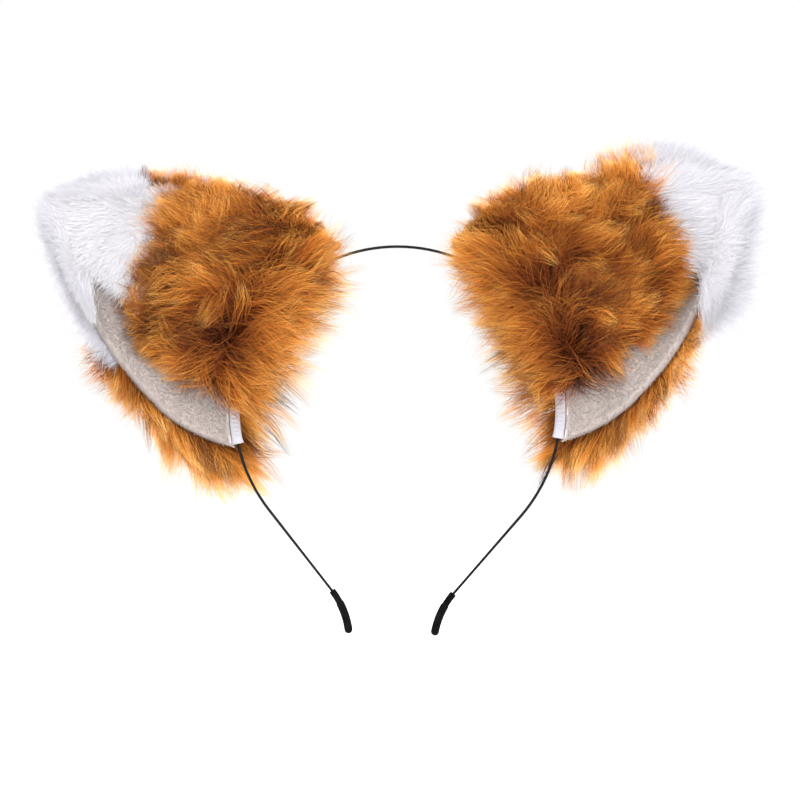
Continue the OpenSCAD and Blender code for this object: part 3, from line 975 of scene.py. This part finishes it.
def casing(side):
    """Ribbed ribbon tube around the wire, with plain selvedges and a turned hem."""
    a0 = ear_angle(side) - CASING_HALF
    a1 = ear_angle(side) + CASING_HALF
    steps = int((a1 - a0) * HOOP_R / (RIB_PITCH / 8))
    around = 40
    run = np.linspace(0, 1, steps + 1)
    angle = a0 + (a1 - a0) * run
    distance = run * (a1 - a0) * HOOP_R
    q = np.linspace(0, 2 * math.pi, around, endpoint=False)
    half_flat = (CASING_W - CASING_T) / 2
    radial = np.cos(q) * CASING_T / 2 + np.clip(np.cos(q) * 3, -1, 1) * half_flat
    depth = np.sin(q) * CASING_T / 2
    middle = np.clip(1 - np.power(np.abs(radial) / 1.25, 6), 0, 1)
    rib = 0.42 * (np.abs(np.sin(math.pi * distance / RIB_PITCH)) - 0.6)
    hem = (0.22 * np.exp(-np.square((distance - 0.7) / 0.75))
           + 0.22 * np.exp(-np.square((distance[-1] - distance - 0.7) / 0.75)))
    flare = 0.14 * np.exp(-distance / 3.0)
    scale = 1 + (hem + flare)[:, None] * 0.35
    swell = 1 + rib[:, None] * middle[None, :] * (distance > RIBS_FROM)[:, None]
    r = HOOP_R + radial[None, :] * scale
    y = depth[None, :] * scale * swell
    x, z = SIDES[side] * r * np.cos(angle)[:, None], r * np.sin(angle)[:, None]
    me = grid_mesh("casing_ribbon_" + side, np.stack([x, y, z], -1) * MM, close=True)
    ob = add_object("casing_ribbon_" + side, me, MATERIALS["ribbon"], "casing_" + side)
    thicken(ob, RIBBON_THICK, -SIDES[side])
    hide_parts("casing_" + side)


# ------------------------------------------------------------------ tip caps
ARC_END = {"right": math.radians(41), "left": math.radians(38)}
LEG_LEN, BEND_R, BEND_ANGLE = 39.5, 31.5, math.radians(30)
CAP_R, COLLAR_R, COLLAR_SHARE = 1.6, 1.35, 0.3
GROOVE_DEPTH, GROOVE_WIDTH = 0.32, 0.34


def tip_cap(side):
    """Moulded rubber cap: square-cut collar, shoulder, a groove front and back, rounded end."""
    out = -ARC_END[side]
    leg = out - math.pi / 2
    centre = (HOOP_R * np.array([math.cos(out), math.sin(out)])
              + LEG_LEN * np.array([math.cos(leg), math.sin(leg)])
              + BEND_R * np.array([math.cos(out), math.sin(out)]))
    length = BEND_R * BEND_ANGLE
    shaft, dome = np.linspace(0.5, length, 70), np.linspace(0.08, math.pi / 2, 16)
    run = np.concatenate([[0.0, 0.0, 0.04, 0.12, 0.25], shaft, length + CAP_R * np.sin(dome)])
    lip = np.array([0.62, 1.18, 1.26, 1.32, COLLAR_R])
    body = COLLAR_R + (CAP_R - COLLAR_R) * smooth((shaft - COLLAR_SHARE * length) / 1.1)
    body[0] = COLLAR_R
    radius = np.concatenate([lip, body, CAP_R * np.cos(dome)])
    angle = out + math.pi + np.minimum(run, length) / BEND_R
    beyond = np.maximum(run - length, 0)
    middle = centre + BEND_R * np.stack([np.cos(angle), np.sin(angle)], 1)
    tangent = np.stack([-np.sin(angle), np.cos(angle)], 1)
    middle = middle + beyond[:, None] * tangent
    across = np.stack([np.cos(angle), np.sin(angle)], 1)
    q = np.linspace(0, 2 * math.pi, 56, endpoint=False)
    turn = np.minimum(np.abs(q - math.pi / 2), np.abs(q - 3 * math.pi / 2))
    cut = GROOVE_DEPTH * np.exp(-np.square(turn / GROOVE_WIDTH))
    reach = smooth((run - 2.0) / 1.5) * smooth((length + 0.3 - run) / 1.5)
    r = np.maximum(radius[:, None] - cut[None, :] * reach[:, None], 0.01)
    x = middle[:, None, 0] + r * np.cos(q) * across[:, None, 0]
    z = middle[:, None, 1] + r * np.cos(q) * across[:, None, 1]
    y = r * np.sin(q)
    me = grid_mesh("tip_cap_" + side, np.stack([SIDES[side] * x, y, z], -1) * MM, close=True)
    ob = add_object("tip_cap_shell_" + side, me, MATERIALS["rubber"], "band")
    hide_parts("tip_cap_" + side)


# ------------------------------------------------------------------ scene
CAMERA_DISTANCE, SEEN_WIDTH = 1.2, 0.3092    # metres; the width is what the photograph spans


def recolour(node, material):
    """Gives a material to a CAD node that is shown as it is."""
    ob = frame["nodes"][node]
    if not ob.material_slots:
        ob.data.materials.append(material)
    for slot in ob.material_slots:
        slot.material = material


def area_light(name, place, target, size, power, colour=(1, 1, 1)):
    data = bpy.data.lights.new(name, "AREA")
    data.shape = "SQUARE"
    data.size = size
    data.energy = power
    data.color = colour
    ob = bpy.data.objects.new(name, data)
    ob.location = place
    direction = np.array(target) - np.array(place)
    ob.rotation_euler = (math.atan2(math.hypot(direction[0], direction[1]), -direction[2]), 0,
                         math.atan2(direction[1], direction[0]) - math.pi / 2)
    bpy.context.scene.collection.objects.link(ob)


def studio():
    scene = bpy.context.scene
    scene.view_settings.view_transform = "Standard"
    world = bpy.data.worlds.new("studio_white")
    world.use_nodes = True
    world.node_tree.nodes["Background"].inputs["Color"].default_value = (1.0, 1.0, 1.0, 1)
    world.node_tree.nodes["Background"].inputs["Strength"].default_value = 1.0
    scene.world = world
    area_light("key", (-0.55, -1.1, 1.1), (0, 0, 0.02), 0.6, 18.0)
    area_light("fill", (0.9, -1.0, 0.4), (0, 0, 0.02), 0.8, 12.0)
    area_light("back", (0.3, 1.0, 0.9), (0, 0, 0.02), 0.8, 12.0)

    floor_z = cad_box[0][2] - 0.03
    bpy.ops.mesh.primitive_circle_add(vertices=96, radius=3.0, fill_type="NGON",
                                      location=(0, 0, floor_z))
    floor = bpy.context.object
    floor.name = "floor"
    pale = noise_material("pale_floor", (0.90, 0.90, 0.90), (0.94, 0.94, 0.94), 3, 0.02,
                          **{"Roughness": 0.8, "Emission Color": (1, 1, 1, 1),
                             "Emission Strength": 0.12})
    floor.data.materials.append(pale)

    camera = bpy.data.cameras.new("camera")
    camera.sensor_width = 36.0
    camera.lens = camera.sensor_width * CAMERA_DISTANCE / SEEN_WIDTH
    ob = bpy.data.objects.new("camera", camera)
    ob.location = (0.00097, -CAMERA_DISTANCE, 0.0037)
    ob.rotation_euler = (math.pi / 2, 0, 0)
    scene.collection.objects.link(ob)
    scene.camera = ob


studio()
recolour("band_wire", MATERIALS["wire"])
for side in SIDES:
    recolour("casing_stitches_" + side, MATERIALS["thread"])
    recolour("rim_stitches_" + side, MATERIALS["beige_thread"])
    place_ear = ear_blend()
    casing(side)
    tip_cap(side)
    foam_core(side, place_ear)
    lining(side, place_ear)
    hides(side, place_ear)
    inner_tuft(side, place_ear)
    back_panel(side, place_ear)
    back_tip(side, place_ear)
    front_tip(side, place_ear)
